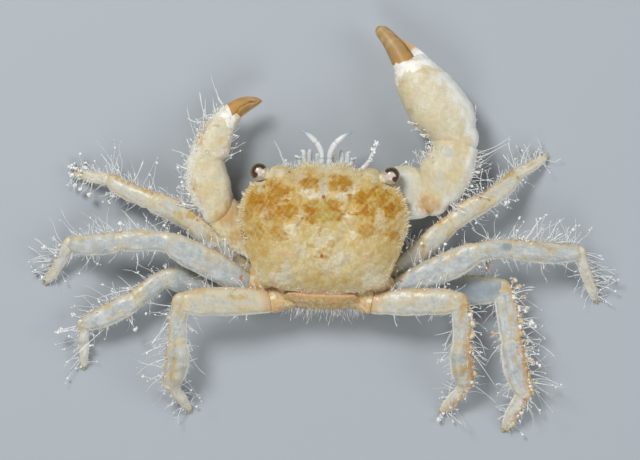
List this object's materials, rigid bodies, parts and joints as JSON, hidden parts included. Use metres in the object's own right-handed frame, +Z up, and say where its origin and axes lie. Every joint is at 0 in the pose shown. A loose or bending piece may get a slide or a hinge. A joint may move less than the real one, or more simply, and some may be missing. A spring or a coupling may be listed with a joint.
{
  "type": "pilumnus crab model",
  "caption": "Life-size still model of a small bristly crab with one large smooth claw, one small claw and spread walking legs, standing on its toe tips.",
  "frame": {"origin": "centre of the underside of the whole model's bounding box, on the surface that the toes stand on", "axes": "+Y towards the crab's head, +X towards its right side, along the spread of the legs, +Z up"},
  "size_m": [0.0694, 0.0482, 0.0093],
  "materials": {
    "carapace": "cream shell with ochre blotches, finely granular",
    "trunk": "pale cream shell",
    "limb": "pale translucent shell with cream edges and bristles",
    "claw": "smooth pearly cream shell",
    "claw_tip": "polished tan-brown horn",
    "eye": "dark glossy eye with a clear rim",
    "feeler": "milky bluish white"
  },
  "bodies": {
    "root": {"carapace": "carapace", "thorax": "trunk", "abdomen_base": "trunk", "abdomen_flap": "trunk", "mouthpart_left": "trunk", "mouthpart_right": "trunk", "eyestalk_left": "feeler", "eyestalk_right": "feeler", "eye_left": "eye", "eye_right": "eye", "antennule_left": "feeler", "antennule_right": "feeler", "antenna_left": "feeler", "antenna_right": "feeler", "claw_left_merus": "claw", "claw_left_carpus": "claw", "claw_left_palm": "claw", "claw_right_merus": "claw", "claw_right_carpus": "claw", "claw_right_palm": "claw", "claw_left_finger": "claw_tip", "claw_right_finger": "claw_tip", "leg_left_1_merus": "limb", "leg_left_1_carpus": "limb", "leg_left_1_propodus": "limb", "leg_left_1_dactylus": "limb", "leg_left_2_merus": "limb", "leg_left_2_carpus": "limb", "leg_left_2_propodus": "limb", "leg_left_2_dactylus": "limb", "leg_left_3_merus": "limb", "leg_left_3_carpus": "limb", "leg_left_3_propodus": "limb", "leg_left_3_dactylus": "limb", "leg_left_4_merus": "limb", "leg_left_4_carpus": "limb", "leg_left_4_propodus": "limb", "leg_left_4_dactylus": "limb", "leg_right_1_merus": "limb", "leg_right_1_carpus": "limb", "leg_right_1_propodus": "limb", "leg_right_1_dactylus": "limb", "leg_right_2_merus": "limb", "leg_right_2_carpus": "limb", "leg_right_2_propodus": "limb", "leg_right_2_dactylus": "limb", "leg_right_3_merus": "limb", "leg_right_3_carpus": "limb", "leg_right_3_propodus": "limb", "leg_right_3_dactylus": "limb", "leg_right_4_merus": "limb", "leg_right_4_carpus": "limb", "leg_right_4_propodus": "limb", "leg_right_4_dactylus": "limb"}
  },
  "joints": []
}
